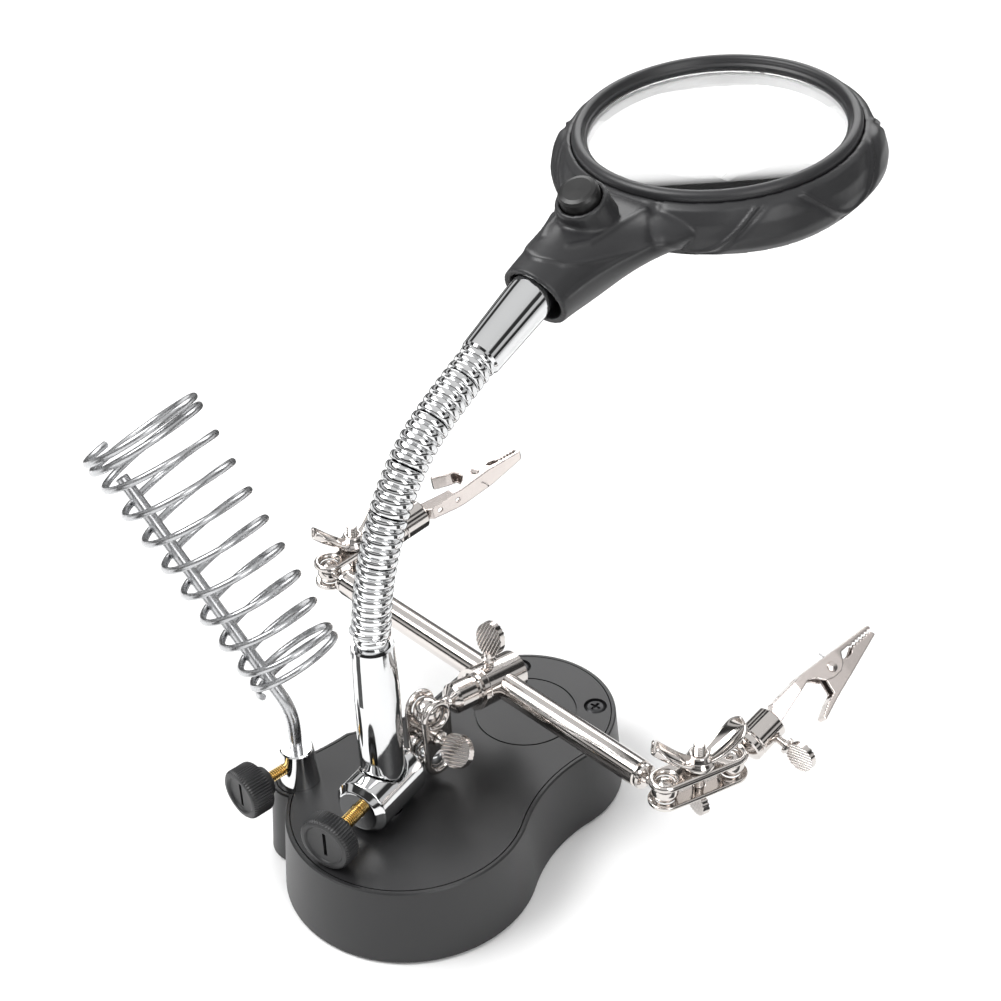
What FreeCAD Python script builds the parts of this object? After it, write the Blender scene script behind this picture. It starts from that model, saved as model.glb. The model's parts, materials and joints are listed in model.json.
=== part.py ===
import FreeCAD, Part
import math
import os

# Helping hands station: weighted gourd-shaped base, coil stand for an iron, gooseneck with an
# illuminated magnifier, and a crossbar that carries two clips on ball clamps.
# Millimetres. +Z up, origin on the bench under the centre of the base's front lobe, +Y towards
# the rear lobe and the magnifier, +X to the right.

V = FreeCAD.Vector
X_AXIS = V(1, 0, 0)
Y_AXIS = V(0, 1, 0)
Z_AXIS = V(0, 0, 1)

# ------------------------------------------------------------------ driving dimensions: base
FRONT_LOBE_R = 42.0
REAR_LOBE_R = 32.6
LOBE_SPACING = 62.2
WAIST_ARC_R = 61.3
BASE_HEIGHT = 30.4
BASE_DRAFT = 2.3            # how much wider the case is at the floor
EDGE_BREAK = 0.5
PAD_THICKNESS = 1.0
RIM_WIDTH = 1.5             # top rim of the case outside the cover
COVER_GAP = 0.4
COVER_THICKNESS = 3.0
CAVITY_INSET = 3.0
BOTTOM_PLATE_THICKNESS = 2.0
PANEL_RING_R = 18.3
COVER_SCREW_OFFSET = 17.9
SCREW_BOSS_R = 4.8
BOTTOM_SCREW_PLACES = [(27.0, -22.0), (-27.0, -22.0), (24.5, 46.0), (-24.5, 46.0)]
BATTERY_BAY = (33.0, 46.0, 56.0)      # width, length, centre along Y
CELL_R = 5.2
CELL_LENGTH = 44.0
BALLAST_THICKNESS = 9.0

# ------------------------------------------------------------------ iron stand
STAND = V(-38.5, -13.7, 0)
EAR_R = 9.9
SLEEVE_BOTTOM_R = 7.3
SLEEVE_TOP_R = 5.8
SLEEVE_HEIGHT = 14.3
ROD_R = 2.25
ROD_BORE_R = 2.31
ROD_BEND_Z = 54.5
ROD_BEND_R = 22.0
ROD_LEAN_AZIMUTH = 197.0
ROD_ELEVATION = 56.5
ROD_STRAIGHT = 92.0
STAND_SCREW_AZIMUTH = 263.5
STAND_SCREW_Z = 38.4
STAND_SCREW_R = 2.0
STAND_SCREW_OUT = 16.6      # from the rod's axis to the back of the knob's rim
STAND_KNOB_R = 9.2
STAND_KNOB_THICKNESS = 8.6
COIL_WIRE_R = 1.2
COIL_BOTTOM_R = 15.8
COIL_TOP_R = 20.3
COIL_START = 6.6           # along the rod's straight run
COIL_SECTIONS = [(1.6, 3.6), (7.9, 10.9), (1.7, 3.4)]      # turns, pitch
COIL_SIDE_TURN = 12.0       # degrees about the rod by which the coil sits off the vertical plane
COIL_SHEAR = 6.5            # degrees by which the turns lean back from the coil's axis
COIL_SHEAR_TOWARDS = -65.0  # the angle round the coil of the side that leans back
COIL_START_ANGLE = 205.0

# ------------------------------------------------------------------ post, clamp block, screws
POST = V(-5.2, -5.2, 0)
BLOCK_R = 10.0
BLOCK_FRONT = 15.5
BLOCK_REAR = 12.5
BLOCK_AXIS_Z = 40.7
BLOCK_AZIMUTH = 278.0       # the way the clamp screw leaves the block
SPIGOT_R = 5.5
RUNNING_CLEARANCE = 0.05
POST_TOP_Z = 102.2
POST_FOOT_Z = 44.3          # lower end of the tube, sunk in the block's top
THREAD_PITCH = 0.8
CLAMP_SCREW_R = 2.4
CLAMP_SCREW_OUT = 27.5      # from the post's axis to the back of the knob's rim
KNOB_R = 10.0
KNOB_THICKNESS = 7.0
KNOB_FLUTES = 24

# ------------------------------------------------------------------ gooseneck and head
NECK_R = 6.5
NECK_RING_PITCH = 3.3
NECK_BALL_R = 4.4
NECK_STEM_R = 2.7
NECK_FIRST_Z = 105.5
NECK_LINK_LENGTH = 16.6
NECK_HEADINGS = [81.0, 71.0, 61.0, 48.0, 32.0, 26.0]
COLLAR_HEADING = 23.3
COLLAR_LENGTH = 25.5
COLLAR_INSERT = 11.0
COLLAR_R_START = 7.1
COLLAR_R_END = 7.95
LENS_CENTRE = V(-5.2, 177.8, 212.6)
LENS_NORMAL = V(-0.016, -0.103, 0.9946)
LENS_R = 46.5
LENS_CLEAR_R = 44.7
LENS_EDGE = 2.4
LENS_BULGE = 3.5
BEZEL_R = 50.2
BEZEL_TOP = 4.6
SHELL_TOP_R = 51.4
SHELL_RISE = 1.6            # how far the shell stands up round the bezel
SHELL_WIDE_R = 57.0
SHELL_BOTTOM_R = 54.5
SHELL_DEPTH = 15.6
SHELL_WALL = 2.2
SHELL_PARTING = 8.8
BUTTON_R = 6.9
BUTTON_PLACE = V(0, -72.3, 7.35)
BUTTON_LEAN = 18.4

# ------------------------------------------------------------------ bracket, T-clamp, crossbar
BALL_R = 5.0
LOWER_BALL = V(-4.5, 17.3, 39.6)
UPPER_BALL = V(-4.8, 17.3, 58.2)
BRACKET_PLATE_THICKNESS = 1.8
BRACKET_PLATE_WIDTH = 12.5
BAR_POINT = V(-1.9, 48.9, 53.2)
BAR_DIRECTION = V(0.9952, -0.0977, 0)
BAR_R = 4.8
BAR_LEFT = -80.1
BAR_RIGHT = 69.9
BAR_BALL_GAP = 10.6         # from the bar's end to the centre of its ball
SLEEVE_R = 7.4
SLEEVE_BACK = 8.6
SLEEVE_FRONT = 9.6
SCREW_BACK = 4.2            # from the bar's axis back to the thumbscrew's, towards the neck

# ------------------------------------------------------------------ ball clamps and clips
CLAMP_BALL_R = 4.5
CLAMP_BALL_SPACING = 25.5
CLAMP_PLATE_WIDTH = 11.4
CLAMP_PLATE_THICKNESS = 2.0
CLAMP_GAP = 6.6
CLAMP_HOLE_R = 3.3
CLAMP_BOLT_R = 2.0
SOCKET_R = 5.8
SOCKET_START = 7.6
SOCKET_LENGTH = 13.7
SOCKET_BORE_R = 4.1
SHEET = 0.8
CLIP_PIVOT = V(25.0, 0, 1.1)
SCREW_TURN = {"right": 102.0, "left": -78.0}
NUT_TURN = {"right": 62.0, "left": 77.0}
CLIP_SCALE = 1.1
# Headings of the plates and the clip, the clip's roll, and its droop in its bore towards its lever.
SIDES = {
    "right": {"sign": 1, "plates": 68.6, "clip": (83.0, 17.0), "roll": -52.0, "nod": 5.0},
    "left": {"sign": -1, "plates": 88.0, "clip": (80.0, 9.0), "roll": 90.0, "nod": 0.5},
}


# ------------------------------------------------------------------ helpers
def heading(azimuth, elevation=0.0):
    a = math.radians(azimuth)
    e = math.radians(elevation)
    return V(math.cos(a) * math.cos(e), math.sin(a) * math.cos(e), math.sin(e))


def frame(origin, z_dir, x_hint):
    """Placement with local Z along z_dir and local X as near to x_hint as it can be."""
    z = V(z_dir).normalize()
    y = z.cross(x_hint).normalize()
    x = y.cross(z)
    return FreeCAD.Placement(origin, FreeCAD.Rotation(x, y, z, "ZXY"))


def put(shape, placement):
    return shape.transformed(placement.toMatrix(), True)


def turned(points):
    """Solid of revolution about Z from (radius, height) points."""
    corners = [V(r, 0, z) for r, z in points]
    face = Part.Face(Part.makePolygon(corners + corners[:1]))
    return face.revolve(V(0, 0, 0), Z_AXIS, 360)


def cylinder(r, z0, z1):
    return Part.makeCylinder(r, z1 - z0, V(0, 0, z0))


def box(x0, x1, y0, y1, z0, z1):
    return Part.makeBox(x1 - x0, y1 - y0, z1 - z0, V(x0, y0, z0))


def at(shape, x, y, z=0.0):
    return shape.translated(V(x, y, z))


def joined(shapes):
    whole = shapes[0].multiFuse(shapes[1:]) if len(shapes) > 1 else shapes[0]
    return whole.removeSplitter()


def ringed_rod(radius, z0, z1, pitch=THREAD_PITCH, depth=0.38):
    """Threaded shank drawn as rings, so that it looks the same however far it is turned."""
    points = [(0, z0), (radius - depth, z0)]
    count = int((z1 - z0) / pitch)
    margin = ((z1 - z0) - count * pitch) / 2
    for i in range(count):
        start = z0 + margin + i * pitch
        points.append((radius - depth, start + 0.08 * pitch))
        points.append((radius, start + 0.44 * pitch))
        points.append((radius, start + 0.56 * pitch))
        points.append((radius - depth, start + 0.92 * pitch))
    points += [(radius - depth, z1), (0, z1)]
    return turned(points)


def cross_head_screw(head_r, head_height, shank_r, length):
    """Pan-head screw with a cross recess; head's underside at z=0, shank down."""
    body = joined([
        turned([(0, 0), (head_r, 0), (head_r, 0.55 * head_height), (0.8 * head_r, 0.9 * head_height),
                (0.5 * head_r, head_height), (0, head_height)]),
        ringed_rod(shank_r, -length, 0.02),
    ])
    arm = 0.58 * head_r
    slot = 0.15 * head_r
    for size in ((arm, slot), (slot, arm)):
        body = body.cut(box(-size[0], size[0], -size[1], size[1], 0.35 * head_height, head_height + 1))
    return body


def solids_of(shapes):
    return Part.makeCompound(shapes)


def save(name, shape):
    if shape.ShapeType == "Compound" and len(shape.Solids) == 1:
        shape = shape.Solids[0]
    PIECES[name] = shape


PIECES = {}


# ------------------------------------------------------------------ base
def gourd_wire(inset, z):
    """Plan of the base: two lobes joined by hollow waist arcs, drawn smaller by inset."""
    front = V(0, 0, z)
    rear = V(0, LOBE_SPACING, z)
    r1 = FRONT_LOBE_R - inset
    r2 = REAR_LOBE_R - inset
    waist = WAIST_ARC_R + inset
    reach1 = FRONT_LOBE_R + WAIST_ARC_R
    reach2 = REAR_LOBE_R + WAIST_ARC_R
    along = (reach1 ** 2 - reach2 ** 2 + LOBE_SPACING ** 2) / (2 * LOBE_SPACING)
    across = math.sqrt(reach1 ** 2 - along ** 2)
    edges = []
    touch = {}
    for side in (1, -1):
        hollow = V(side * across, along, z)
        touch[side, 1] = front + (hollow - front).normalize() * r1
        touch[side, 2] = rear + (hollow - rear).normalize() * r2
        middle = hollow + V(-side * waist, 0, 0)
        edges.append(Part.Arc(touch[side, 1], middle, touch[side, 2]).toShape())
    front_arc = Part.Arc(touch[1, 1], V(0, -r1, z), touch[-1, 1]).toShape()
    rear_arc = Part.Arc(touch[1, 2], V(0, LOBE_SPACING + r2, z), touch[-1, 2]).toShape()
    return Part.Wire([front_arc, edges[1], rear_arc, edges[0]])


def fairing_wire(inset, z):
    """Flank that runs from the stand's ear into the front lobe."""
    a = V(-47.2 + inset, -9.0, z)
    b = V(-44.4 + inset, 1.0, z)
    c = V(-42.6 + inset, 13.0, z)
    d = V(-37.2 + inset, 22.0, z)
    e = V(-24.0, 4.0, z)
    return Part.Wire([
        Part.Arc(a, b, c).toShape(),
        Part.makeLine(c, d),
        Part.makeLine(d, e),
        Part.makeLine(e, a),
    ])


def base_prism(z0, z1, inset0, inset1):
    height = z1 - z0
    gourd = Part.makeLoft([gourd_wire(inset0, z0), gourd_wire(inset1, z1)], True, True)
    fairing = Part.makeLoft([fairing_wire(inset0, z0), fairing_wire(inset1, z1)], True, True)
    if abs(inset0 - inset1) < 1e-6:
        ear = Part.makeCylinder(EAR_R - inset0, height, V(STAND.x, STAND.y, z0))
    else:
        ear = Part.makeCone(EAR_R - inset0, EAR_R - inset1, height, V(STAND.x, STAND.y, z0))
    return joined([gourd, fairing, ear])


def build_base():
    cover_z = BASE_HEIGHT - COVER_THICKNESS
    floor = PAD_THICKNESS
    plate_top = floor + BOTTOM_PLATE_THICKNESS
    bay_w, bay_l, bay_y = BATTERY_BAY
    cover_screws = [(s * COVER_SCREW_OFFSET, LOBE_SPACING + COVER_SCREW_OFFSET) for s in (1, -1)]

    case = base_prism(floor, BASE_HEIGHT - EDGE_BREAK, -BASE_DRAFT, 0)
    case = joined([case, base_prism(BASE_HEIGHT - EDGE_BREAK, BASE_HEIGHT, 0, EDGE_BREAK)])
    case = case.cut(base_prism(cover_z, BASE_HEIGHT + 1, RIM_WIDTH, RIM_WIDTH))
    case = case.cut(base_prism(0, cover_z + 1, CAVITY_INSET, CAVITY_INSET))
    bosses = [at(cylinder(SCREW_BOSS_R, 15.0, cover_z), x, y) for x, y in cover_screws]
    bosses += [at(cylinder(SCREW_BOSS_R, plate_top, 16.0), x, y) for x, y in BOTTOM_SCREW_PLACES]
    case = joined([case] + bosses)
    for x, y in cover_screws:
        case = case.cut(at(cylinder(1.5, 14.0, cover_z + 1), x, y))
    for x, y in BOTTOM_SCREW_PLACES:
        case = case.cut(at(cylinder(1.5, 0, 17.0), x, y))
    save("base_case", case)

    cover = base_prism(cover_z, BASE_HEIGHT, RIM_WIDTH + COVER_GAP, RIM_WIDTH + COVER_GAP)
    groove = cylinder(PANEL_RING_R + 0.3, BASE_HEIGHT - 0.6, BASE_HEIGHT + 1)
    groove = groove.cut(cylinder(PANEL_RING_R - 0.3, BASE_HEIGHT - 1, BASE_HEIGHT + 2))
    cover = cover.cut(at(groove, 0, LOBE_SPACING))
    for x, y in cover_screws:
        cover = cover.cut(at(cylinder(4.2, BASE_HEIGHT - 1.5, BASE_HEIGHT + 1), x, y))
        cover = cover.cut(at(cylinder(1.7, cover_z - 1, BASE_HEIGHT), x, y))
    cover = cover.cut(at(cylinder(SPIGOT_R + 0.3, cover_z - 1, BASE_HEIGHT + 1), POST.x, POST.y))
    cover = cover.cut(at(cylinder(4.6, cover_z - 1, BASE_HEIGHT + 1), STAND.x, STAND.y))
    save("base_top_cover", cover)

    plate = base_prism(floor, plate_top, CAVITY_INSET + 0.3, CAVITY_INSET + 0.3)
    bay = box(-bay_w / 2, bay_w / 2, bay_y - bay_l / 2, bay_y + bay_l / 2, 0, plate_top + 1)
    plate = plate.cut(bay)
    for x, y in BOTTOM_SCREW_PLACES:
        plate = plate.cut(at(cylinder(1.7, 0, plate_top + 1), x, y))
        plate = plate.cut(at(cylinder(3.1, 0, floor + 1.1), x, y))
    save("base_bottom_plate", plate)

    gap = 0.25
    door = box(-bay_w / 2 + gap, bay_w / 2 - gap, bay_y - bay_l / 2 + gap, bay_y + bay_l / 2 - gap,
               floor, floor + 1.6)
    grip = box(-6, 6, bay_y + bay_l / 2 - 5, bay_y + bay_l / 2 - 3, floor - 1, floor + 0.6)
    save("battery_door", door.cut(grip))

    pad = Part.makeLoft([gourd_wire(1.5, 0), gourd_wire(1.5, floor)], True, True)
    pad = pad.cut(box(-bay_w / 2 - 0.5, bay_w / 2 + 0.5, bay_y - bay_l / 2 - 0.5,
                      bay_y + bay_l / 2 + 0.5,
                      -1, floor + 1))
    for x, y in BOTTOM_SCREW_PLACES:
        pad = pad.cut(at(cylinder(3.6, -1, floor + 1), x, y))
    save("anti_slip_pad", pad)

    cells = []
    for i in (-1, 0, 1):
        cell = joined([cylinder(CELL_R, 0, CELL_LENGTH - 1.0), cylinder(1.9, 0, CELL_LENGTH)])
        base = V(i * (2 * CELL_R + 0.15), bay_y - CELL_LENGTH / 2, floor + 1.7 + CELL_R)
        cells.append(put(cell, frame(base, Y_AXIS, X_AXIS)))
    save("battery_cells", solids_of(cells))

    ballast = Part.makeLoft([gourd_wire(CAVITY_INSET + 0.6, plate_top),
                             gourd_wire(CAVITY_INSET + 0.6, plate_top + BALLAST_THICKNESS)], True, True)
    ballast = ballast.cut(box(-60, 60, bay_y - bay_l / 2 - 2, 120, 0, 40))
    for x, y in BOTTOM_SCREW_PLACES:
        ballast = ballast.cut(at(cylinder(SCREW_BOSS_R + 0.5, 0, 40), x, y))
    save("ballast_plate", ballast)

    screw = cross_head_screw(3.6, 1.4, 1.45, 9.0)
    save("cover_screws", solids_of([at(screw, x, y, BASE_HEIGHT - 1.5) for x, y in cover_screws]))
    low = cross_head_screw(2.9, 1.0, 1.45, 8.0).rotated(V(0, 0, 0), X_AXIS, 180)
    save("bottom_screws", solids_of([at(low, x, y, floor + 1.1) for x, y in BOTTOM_SCREW_PLACES]))


# ------------------------------------------------------------------ knobs and thumbscrews
def fluted_knob(radius, t, bore_r):
    """Knob with a fluted rim; face at +Z, hub from z=-3.2, blind bore for the screw's end."""
    rim = turned([(0, 0), (radius - 1.6, 0), (radius, 1.2), (radius, t - 1.0), (radius - 1.0, t),
                  (radius - 2.6, t), (radius - 3.2, t - 0.8), (0, t - 0.8)])
    hub = turned([(0, -3.2), (5.2, -3.2), (6.6, 0.1), (0, 0.1)])
    knob = joined([rim, hub])
    for i in range(KNOB_FLUTES):
        a = 2 * math.pi * i / KNOB_FLUTES
        flute = cylinder(0.75, -1, t + 1)
        knob = knob.cut(at(flute, (radius + 0.25) * math.cos(a), (radius + 0.25) * math.sin(a)))
    knob = knob.cut(box(-4.6, 4.6, -0.7, 0.7, t - 2.2, t + 1))
    return knob.cut(cylinder(bore_r, -4, 1.5))


def thumb_paddle(width, height, thick, stem):
    """Oval ridged grip on a short waist; stands in the XZ plane, foot at z=0."""
    waist = turned([(0, 0), (2.9, 0), (2.9, 0.8), (2.0, 1.4), (1.9, stem + 1.0), (0, stem + 1.0)])
    tall = height >= width
    oval = Part.Ellipse(V(0, 0, 0), max(height, width) / 2, min(height, width) / 2).toShape()
    disc = Part.Face(Part.Wire(oval)).extrude(V(0, 0, thick))
    disc = put(disc, frame(V(0, thick / 2, stem + height / 2), Y_AXIS * -1, Z_AXIS if tall else X_AXIS))
    count = 4
    for i in range(-count, count + 1):
        for side in (-1, 1):
            groove = cylinder(0.34, -height, height)
            groove = put(groove, frame(V(i * width / (2 * count + 1), side * (thick / 2 + 0.08),
                                         stem + height / 2),
                                       V(0.35, 0, 1), X_AXIS))
            disc = disc.cut(groove)
    return joined([waist, disc])


def build_iron_stand():
    top = BASE_HEIGHT + SLEEVE_HEIGHT
    sleeve = turned([(ROD_BORE_R, BASE_HEIGHT - 2.6), (4.4, BASE_HEIGHT - 2.6), (4.4, BASE_HEIGHT),
                     (SLEEVE_BOTTOM_R, BASE_HEIGHT), (SLEEVE_BOTTOM_R, BASE_HEIGHT + 0.8),
                     (SLEEVE_TOP_R, top - 0.5), (SLEEVE_TOP_R - 0.5, top), (ROD_BORE_R, top)])
    sleeve = at(sleeve, STAND.x, STAND.y)
    screw_frame = frame(V(STAND.x, STAND.y, STAND_SCREW_Z), heading(STAND_SCREW_AZIMUTH), Z_AXIS)
    sleeve = sleeve.cut(put(cylinder(STAND_SCREW_R + 0.06, 0, 12), screw_frame))
    save("iron_sleeve", sleeve)
    save("iron_clamp_screw", put(ringed_rod(STAND_SCREW_R, ROD_R + 0.3, STAND_SCREW_OUT + 1.5),
                                 screw_frame))
    knob_frame = frame(V(STAND.x, STAND.y,
                         STAND_SCREW_Z) + heading(STAND_SCREW_AZIMUTH) * STAND_SCREW_OUT,
                       heading(STAND_SCREW_AZIMUTH), Z_AXIS)
    save("iron_knob", put(fluted_knob(STAND_KNOB_R, STAND_KNOB_THICKNESS, STAND_SCREW_R), knob_frame))

    lean = heading(ROD_LEAN_AZIMUTH)
    turn = math.radians(90.0 - ROD_ELEVATION)
    foot = V(STAND.x, STAND.y, BASE_HEIGHT - 2.0)
    knee = V(STAND.x, STAND.y, ROD_BEND_Z)
    centre = knee + lean * ROD_BEND_R
    mid = centre - lean * ROD_BEND_R * math.cos(turn / 2) + Z_AXIS * ROD_BEND_R * math.sin(turn / 2)
    after, rise = rod_run()
    path = Part.Wire([Part.makeLine(foot, knee), Part.Arc(knee, mid, after).toShape(),
                      Part.makeLine(after, after + rise * ROD_STRAIGHT)])
    section = Part.Wire(Part.makeCircle(ROD_R, foot, Z_AXIS))
    save("iron_rod", path.makePipeShell([section], True, False))
    save("iron_coil", coil())


def rod_run():
    """Start and direction of the rod's straight upper run."""
    lean = heading(ROD_LEAN_AZIMUTH)
    turn = math.radians(90.0 - ROD_ELEVATION)
    centre = V(STAND.x, STAND.y, ROD_BEND_Z) + lean * ROD_BEND_R
    start = centre - lean * ROD_BEND_R * math.cos(turn) + Z_AXIS * ROD_BEND_R * math.sin(turn)
    return start, heading(ROD_LEAN_AZIMUTH, ROD_ELEVATION)


def coil_axis():
    """Centre of the coil's first turn, its axis and its length along that axis."""
    rod_start, rise = rod_run()
    plumb = (Z_AXIS - rise * rise.z).normalize()
    turn = math.radians(COIL_SIDE_TURN)
    up = plumb * math.cos(turn) + rise.cross(plumb) * math.sin(turn)
    length = sum(turns * pitch for turns, pitch in COIL_SECTIONS)
    inside = COIL_WIRE_R + ROD_R - 0.08
    taper = math.atan2(COIL_TOP_R - COIL_BOTTOM_R, length)
    axis = (rise * math.cos(taper) + up * math.sin(taper)).normalize()
    start = rod_start + rise * COIL_START + up * (COIL_BOTTOM_R - inside)
    return start, axis, length


def coil():
    """Conical open coil whose turns rest against the rod along their inner, lower side."""
    start, axis, length = coil_axis()
    axis_up = (Z_AXIS - axis * axis.z).normalize()
    side = axis.cross(axis_up)
    lean_back = math.radians(COIL_SHEAR)
    points = []
    done = 0.0
    travelled = 0.0
    steps = 14
    for turns, pitch in COIL_SECTIONS:
        count = int(round(turns * steps))
        for i in range(count):
            t = done + i * turns / count
            z = travelled + i * turns / count * pitch
            points.append((t, z))
        done += turns
        travelled += turns * pitch
    points.append((done, travelled))
    route = []
    for t, z in points:
        a = math.radians(COIL_START_ANGLE) + 2 * math.pi * t
        r = COIL_BOTTOM_R + (COIL_TOP_R - COIL_BOTTOM_R) * z / length
        out = (side * math.cos(a) + axis_up * math.sin(a)) * r
        slip = -math.tan(lean_back) * r * math.cos(a - math.radians(COIL_SHEAR_TOWARDS))
        route.append(start + axis * (z + slip) + out)
    curve = Part.BSplineCurve()
    curve.interpolate(route)
    path = Part.Wire(curve.toShape())
    tangent = curve.tangent(curve.FirstParameter)[0]
    section = Part.Wire(Part.makeCircle(COIL_WIRE_R, route[0], tangent))
    return path.makePipeShell([section], True, True)


# ------------------------------------------------------------------ clamp block and post
def build_block():
    away = heading(BLOCK_AZIMUTH)
    block_frame = frame(V(POST.x, POST.y, BLOCK_AXIS_Z), away, Z_AXIS)
    bevel = 2.4
    barrel = turned([(0, -BLOCK_REAR), (BLOCK_R - bevel, -BLOCK_REAR), (BLOCK_R, -BLOCK_REAR + bevel),
                     (BLOCK_R, BLOCK_FRONT - bevel), (BLOCK_R - bevel, BLOCK_FRONT), (0, BLOCK_FRONT)])
    eight_sided = Part.makePolygon([V(1.12 * BLOCK_R * math.cos(math.radians(22.5 + 45 * i)),
                                      1.12 * BLOCK_R * math.sin(math.radians(22.5 + 45 * i)),
                                      BLOCK_FRONT - 6.0) for i in range(9)])
    prism = Part.Face(eight_sided).extrude(V(0, 0, 10))
    front = barrel.common(cylinder(2 * BLOCK_R, BLOCK_FRONT - 6.0, BLOCK_FRONT + 1)).common(prism)
    rear = barrel.common(cylinder(2 * BLOCK_R, -BLOCK_REAR - 1, BLOCK_FRONT - 6.0))
    block = put(joined([rear, front]), block_frame)
    block = block.cut(at(cylinder(SPIGOT_R + RUNNING_CLEARANCE, 20, 60), POST.x, POST.y))
    block = block.cut(at(cylinder(7.95, POST_FOOT_Z - 0.3, 60), POST.x, POST.y))
    block = block.cut(at(cylinder(3 * BLOCK_R, 0, BASE_HEIGHT + 0.35), POST.x, POST.y))
    block = block.cut(put(cylinder(CLAMP_SCREW_R + 0.06, 0, 30), block_frame))
    stud_dir = V(LOWER_BALL.x - POST.x, LOWER_BALL.y - POST.y, 0)
    reach = stud_dir.Length
    stud_frame = frame(V(POST.x, POST.y, LOWER_BALL.z), stud_dir, Z_AXIS)
    block = block.cut(put(cylinder(2.5, 0, 30), stud_frame))
    save("clamp_block", block)
    stud = joined([cylinder(2.5, SPIGOT_R + 0.4, reach - BALL_R - 1.0),
                   cylinder(1.9, reach - BALL_R - 1.2, reach),
                   turned([(0, BLOCK_REAR + 1.4), (3.4, BLOCK_REAR + 1.4), (3.4, BLOCK_REAR + 2.6),
                           (0, BLOCK_REAR + 2.6)]),
                   Part.makeSphere(BALL_R, V(0, 0, reach))])
    save("block_ball_stud", put(stud, stud_frame))
    save("main_clamp_screw", put(ringed_rod(CLAMP_SCREW_R, SPIGOT_R + 0.35, CLAMP_SCREW_OUT + 1.5),
                                 block_frame))
    knob_frame = frame(V(POST.x, POST.y, BLOCK_AXIS_Z) + away * CLAMP_SCREW_OUT, away, Z_AXIS)
    save("main_knob", put(fluted_knob(KNOB_R, KNOB_THICKNESS, CLAMP_SCREW_R), knob_frame))


def neck_points():
    points = [V(POST.x, POST.y, NECK_FIRST_Z)]
    for angle in NECK_HEADINGS:
        points.append(points[-1] + heading(90.0, angle) * NECK_LINK_LENGTH)
    return points


SHOULDER = 3.6              # from a neck ball's centre down to the shoulder below it
SKIRT = 1.2                 # from a neck ball's centre down to the socket's lip


def neck_ball(z):
    return joined([cylinder(NECK_STEM_R, z - SHOULDER - 0.5, z),
                   Part.makeSphere(NECK_BALL_R, V(0, 0, z))])


def socket_cavity():
    throat = turned([(0, -SKIRT - 1), (4.9, -SKIRT - 1), (3.9, 0.4), (0, 0.4)])
    return joined([Part.makeSphere(NECK_BALL_R + RUNNING_CLEARANCE), throat])


def neck_link(length):
    """One stretch of corrugated neck: socket round the ball below, ball for the next above."""
    top = length - SHOULDER
    points = [(0, -SKIRT), (5.3, -SKIRT), (NECK_R - 0.3, 0.6)]
    rings = int((top - 0.6) / NECK_RING_PITCH)
    for i in range(rings):
        z = 0.6 + i * (top - 0.6) / rings
        step = (top - 0.6) / rings
        points += [(NECK_R, z + 0.3 * step), (NECK_R, z + 0.7 * step), (NECK_R - 0.45, z + step)]
    points += [(5.6, top), (0, top)]
    return joined([turned(points).cut(socket_cavity()), neck_ball(length)])


def build_post_and_neck():
    post = turned([(0, 14.0), (SPIGOT_R, 14.0), (SPIGOT_R, POST_FOOT_Z), (6.7, POST_FOOT_Z),
                   (7.0, POST_FOOT_Z + 0.4), (7.6, 51.0), (7.7, 62.0),
                   (7.85, 80.0), (7.5, 95.0), (7.2, POST_TOP_Z - 1.0), (6.8, POST_TOP_Z),
                   (0, POST_TOP_Z)])
    post = joined([post, neck_ball(NECK_FIRST_Z)])
    save("gooseneck_post", at(post, POST.x, POST.y))
    points = neck_points()
    for i, angle in enumerate(NECK_HEADINGS):
        link = put(neck_link(NECK_LINK_LENGTH), frame(points[i], heading(90.0, angle), X_AXIS))
        save("neck_link_%d" % (i + 1), link)


# ------------------------------------------------------------------ magnifier head
def head_frame():
    return frame(LENS_CENTRE, LENS_NORMAL, X_AXIS)


def collar_frame():
    return frame(neck_points()[-1], heading(90.0, COLLAR_HEADING), X_AXIS)


def handle_sections(shrink):
    """Oval sections of the handle, from the neck's end up into the ring."""
    stations = [(-100.5, -11.3, 12.2, 12.0, 17.0), (-93.5, -10.4, 13.0, 12.8, 19.6),
                (-81.0, -8.8, 15.0, 13.4, 12.6),
                (-67.0, -7.2, 20.0, 11.0, 6.6), (-50.0, -7.4, 27.0, 8.0, 0.0),
                (-47.5, -7.4, 27.6, 7.8, 0.0)]
    wires = []
    for y, z, half_width, half_height, slope in stations:
        oval = Part.Ellipse(V(0, 0, 0), half_width - shrink, half_height - shrink - 0.001).toShape()
        direction = V(0, math.cos(math.radians(slope)), math.sin(math.radians(slope)))
        wires.append(put(Part.Wire(oval), frame(V(0, y, z), direction, X_AXIS)))
    return wires


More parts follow.
